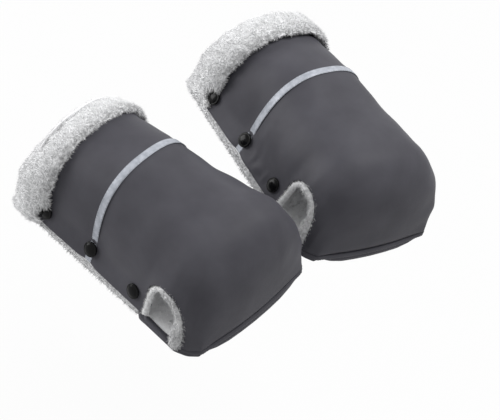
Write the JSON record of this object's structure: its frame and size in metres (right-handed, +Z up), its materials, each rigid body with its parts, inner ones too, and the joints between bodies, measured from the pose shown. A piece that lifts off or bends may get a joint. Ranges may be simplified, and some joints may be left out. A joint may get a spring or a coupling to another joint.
{
  "type": "stroller hand muff",
  "caption": "Padded, fleece-lined hand muffs that close over a stroller handlebar with press studs and keep the hands warm.",
  "frame": {"origin": "on the axis of the handlebar that the muffs hang on, midway between the two muffs", "axes": "+X along the bar to the user's right, +Y from the hand mouths to the closed fronts, +Z up"},
  "size_m": [0.3601, 0.2573, 0.127],
  "materials": {
    "shell_fabric": "satin woven nylon, dark charcoal",
    "padding": "polyester wadding",
    "fleece": "white plush fleece",
    "reflective_tape": "silver-grey reflective woven tape",
    "snap_cap": "gloss black",
    "snap_stud": "plated metal"
  },
  "bodies": {
    "right_lower_half": {"right_bottom_shell": "shell_fabric", "right_bottom_padding": "padding", "right_bottom_lining": "fleece", "right_bottom_cuff": "fleece", "right_snap_stud_outer_rear": "snap_stud", "right_snap_stud_outer_middle": "snap_stud", "right_snap_stud_outer_front": "snap_stud", "right_snap_stud_inner_rear": "snap_stud", "right_snap_stud_inner_middle": "snap_stud", "right_snap_stud_inner_front": "snap_stud"},
    "right_upper_half": {"right_top_shell": "shell_fabric", "right_top_padding": "padding", "right_top_lining": "fleece", "right_top_cuff": "fleece", "right_reflective_tape": "reflective_tape", "right_notch_roll_outer": "fleece", "right_notch_roll_inner": "fleece", "right_snap_cap_outer_rear": "snap_cap", "right_snap_cap_outer_middle": "snap_cap", "right_snap_cap_outer_front": "snap_cap", "right_snap_cap_inner_rear": "snap_cap", "right_snap_cap_inner_middle": "snap_cap", "right_snap_cap_inner_front": "snap_cap"},
    "left_lower_half": {"left_bottom_shell": "shell_fabric", "left_bottom_padding": "padding", "left_bottom_lining": "fleece", "left_bottom_cuff": "fleece", "left_snap_stud_outer_rear": "snap_stud", "left_snap_stud_outer_middle": "snap_stud", "left_snap_stud_outer_front": "snap_stud", "left_snap_stud_inner_rear": "snap_stud", "left_snap_stud_inner_middle": "snap_stud", "left_snap_stud_inner_front": "snap_stud"},
    "left_upper_half": {"left_top_shell": "shell_fabric", "left_top_padding": "padding", "left_top_lining": "fleece", "left_top_cuff": "fleece", "left_reflective_tape": "reflective_tape", "left_notch_roll_outer": "fleece", "left_notch_roll_inner": "fleece", "left_snap_cap_outer_rear": "snap_cap", "left_snap_cap_outer_middle": "snap_cap", "left_snap_cap_outer_front": "snap_cap", "left_snap_cap_inner_rear": "snap_cap", "left_snap_cap_inner_middle": "snap_cap", "left_snap_cap_inner_front": "snap_cap"}
  },
  "joints": [
    {"name": "right_flap_open", "type": "hinge", "parent": "right_lower_half", "child": "right_upper_half", "pos_m": [0.08052, 0.04779, -0.02473], "axis": [-0.9841, -0.0982, 0.1478], "range_deg": [0, 90]},
    {"name": "left_muff_turn", "type": "hinge", "parent": "right_lower_half", "child": "left_lower_half", "pos_m": [-0.089, 0, 0], "axis": [0.9774, -0.1514, 0.1474], "range_deg": [-35, 35]},
    {"name": "left_flap_open", "type": "hinge", "parent": "left_lower_half", "child": "left_upper_half", "pos_m": [-0.07775, 0.04533, -0.02804], "axis": [-0.9774, 0.1514, -0.1474], "range_deg": [0, 90]}
  ]
}
